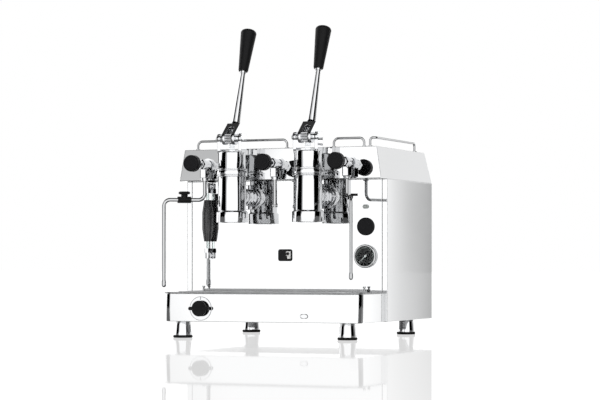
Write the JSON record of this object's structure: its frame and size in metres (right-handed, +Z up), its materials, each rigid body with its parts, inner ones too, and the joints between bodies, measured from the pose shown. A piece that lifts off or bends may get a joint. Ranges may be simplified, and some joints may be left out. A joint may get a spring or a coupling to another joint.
{
  "type": "espresso machine",
  "caption": "Counter-top lever espresso machine: polished case with drip tray, spring-lever groups, steam wands, hot water spout, gauge and rotary switch.",
  "frame": {"origin": "centre of the footprint, on the counter under the feet", "axes": "+X to the right as the barista faces the machine, +Y towards the back, +Z up"},
  "size_m": [0.6085, 0.5925, 0.857],
  "materials": {
    "mirror_steel": "mirror-polished stainless sheet",
    "inner_steel": "galvanised sheet",
    "satin_steel": "satin stainless",
    "bright_trim": "polished chrome",
    "rubber": "matte black rubber",
    "copper": "dull copper",
    "group_chrome": "polished chrome over brass",
    "brass": "machined brass",
    "machined_steel": "machined bright",
    "spring_steel": "drawn wire",
    "lever_chrome": "polished chrome",
    "grip_black": "satin black, lightly textured",
    "valve_chrome": "polished chrome",
    "knob_black": "satin black moulding",
    "wand_steel": "polished stainless tube",
    "trim_black": "heat-resistant black",
    "clear_glass": "clear",
    "guard_grey": "dark grey",
    "lamp_dark": "dark lens",
    "dial_black": "matte black",
    "needle_white": "white paint",
    "badge_black": "black enamel"
  },
  "bodies": {
    "case": {"side_panel_left": "mirror_steel", "side_panel_right": "mirror_steel", "splash_panel": "mirror_steel", "back_panel": "mirror_steel", "hood": "mirror_steel", "tray_housing": "mirror_steel", "chassis": "inner_steel", "boiler_mounts": "inner_steel", "drip_pan": "inner_steel", "cup_deck": "satin_steel", "feet": "bright_trim", "switch_plate": "bright_trim", "foot_pads": "rubber", "boiler": "copper", "group_body_left": "group_chrome", "group_body_right": "group_chrome", "spring_housing_left": "group_chrome", "spring_housing_right": "group_chrome", "rear_fittings": "brass", "pivot_shaft_left": "machined_steel", "pivot_shaft_right": "machined_steel", "spring_left": "spring_steel", "spring_right": "spring_steel", "valve_left": "valve_chrome", "valve_middle": "valve_chrome", "valve_right": "valve_chrome", "union_nuts": "valve_chrome", "sight_fittings": "valve_chrome", "water_spout": "wand_steel", "gauge_case": "wand_steel", "cup_rail_front_left": "wand_steel", "cup_rail_front_right": "wand_steel", "cup_rail_side": "wand_steel", "cable_gland": "trim_black", "sight_tube": "clear_glass", "gauge_lens": "clear_glass", "sight_guard": "guard_grey", "indicator_lamp": "lamp_dark", "gauge_dial": "dial_black", "badges": "badge_black"},
    "lever_left": {"lever_fork_left": "lever_chrome", "lever_rod_left": "lever_chrome", "lever_grip_left": "grip_black"},
    "lever_right": {"lever_fork_right": "lever_chrome", "lever_rod_right": "lever_chrome", "lever_grip_right": "grip_black"},
    "piston_left": {"piston_left": "brass", "piston_rod_left": "machined_steel"},
    "piston_right": {"piston_right": "brass", "piston_rod_right": "machined_steel"},
    "knob_left": {"valve_knob_left": "knob_black"},
    "knob_middle": {"valve_knob_middle": "knob_black"},
    "knob_right": {"valve_knob_right": "knob_black"},
    "wand_left": {"steam_wand_left": "wand_steel", "wand_grip": "trim_black"},
    "wand_right": {"steam_wand_right": "wand_steel"},
    "panel_knob": {"panel_knob": "knob_black"},
    "switch_knob": {"switch_knob": "knob_black"},
    "gauge_needle": {"gauge_needle": "needle_white"},
    "drip_grate": {"drip_grate": "satin_steel"}
  },
  "joints": [
    {"name": "lever_left_pivot", "type": "hinge", "parent": "case", "child": "lever_left", "pos_m": [-0.1122, -0.216, 0.5445], "axis": [1, 0, 0], "range_deg": [0, 110], "stiffness_Nm_per_rad": 6, "springref_deg": -34.38},
    {"name": "piston_left_slide", "type": "slide", "parent": "case", "child": "piston_left", "axis": [0, 0, 1], "range_m": [0, 0.0232], "deforming": ["spring_left"]},
    {"name": "lever_right_pivot", "type": "hinge", "parent": "case", "child": "lever_right", "pos_m": [0.1122, -0.216, 0.5445], "axis": [1, 0, 0], "range_deg": [0, 110], "stiffness_Nm_per_rad": 6, "springref_deg": -34.38},
    {"name": "piston_right_slide", "type": "slide", "parent": "case", "child": "piston_right", "axis": [0, 0, 1], "range_m": [0, 0.0232], "deforming": ["spring_right"]},
    {"name": "knob_left_turn", "type": "hinge", "parent": "case", "child": "knob_left", "pos_m": [-0.2112, -0.239, 0.477], "axis": [0, -1, 0], "range_deg": [0, 360]},
    {"name": "knob_middle_turn", "type": "hinge", "parent": "case", "child": "knob_middle", "pos_m": [0, -0.239, 0.477], "axis": [0, -1, 0], "range_deg": [0, 360]},
    {"name": "knob_right_turn", "type": "hinge", "parent": "case", "child": "knob_right", "pos_m": [0.2112, -0.239, 0.477], "axis": [0, -1, 0], "range_deg": [0, 360]},
    {"name": "wand_left_swivel", "type": "hinge", "parent": "case", "child": "wand_left", "pos_m": [-0.2112, -0.166, 0.433], "axis": [0, 0, 1], "range_deg": [-55, 75]},
    {"name": "wand_right_swivel", "type": "hinge", "parent": "case", "child": "wand_right", "pos_m": [0.2112, -0.166, 0.433], "axis": [0, 0, 1], "range_deg": [-52, 85]},
    {"name": "panel_knob_turn", "type": "hinge", "parent": "case", "child": "panel_knob", "pos_m": [0.2379, -0.092, 0.30395], "axis": [0, 1, 0], "range_deg": [0, 270]},
    {"name": "switch_turn", "type": "hinge", "parent": "case", "child": "switch_knob", "pos_m": [-0.171, -0.278, 0.081], "axis": [0, 1, 0], "range_deg": [0, 135]},
    {"name": "needle_turn", "type": "hinge", "parent": "case", "child": "gauge_needle", "pos_m": [0.2379, -0.097, 0.22294], "axis": [0, 1, 0], "range_deg": [0, 270]},
    {"name": "grate_lift", "type": "slide", "parent": "case", "child": "drip_grate", "axis": [0, 0, 1], "range_m": [0, 0.045]}
  ],
  "couplings": [
    {"joint": "piston_left_slide", "follows": "lever_left_pivot", "m_per_rad": 0.012},
    {"joint": "piston_right_slide", "follows": "lever_right_pivot", "m_per_rad": 0.012}
  ]
}
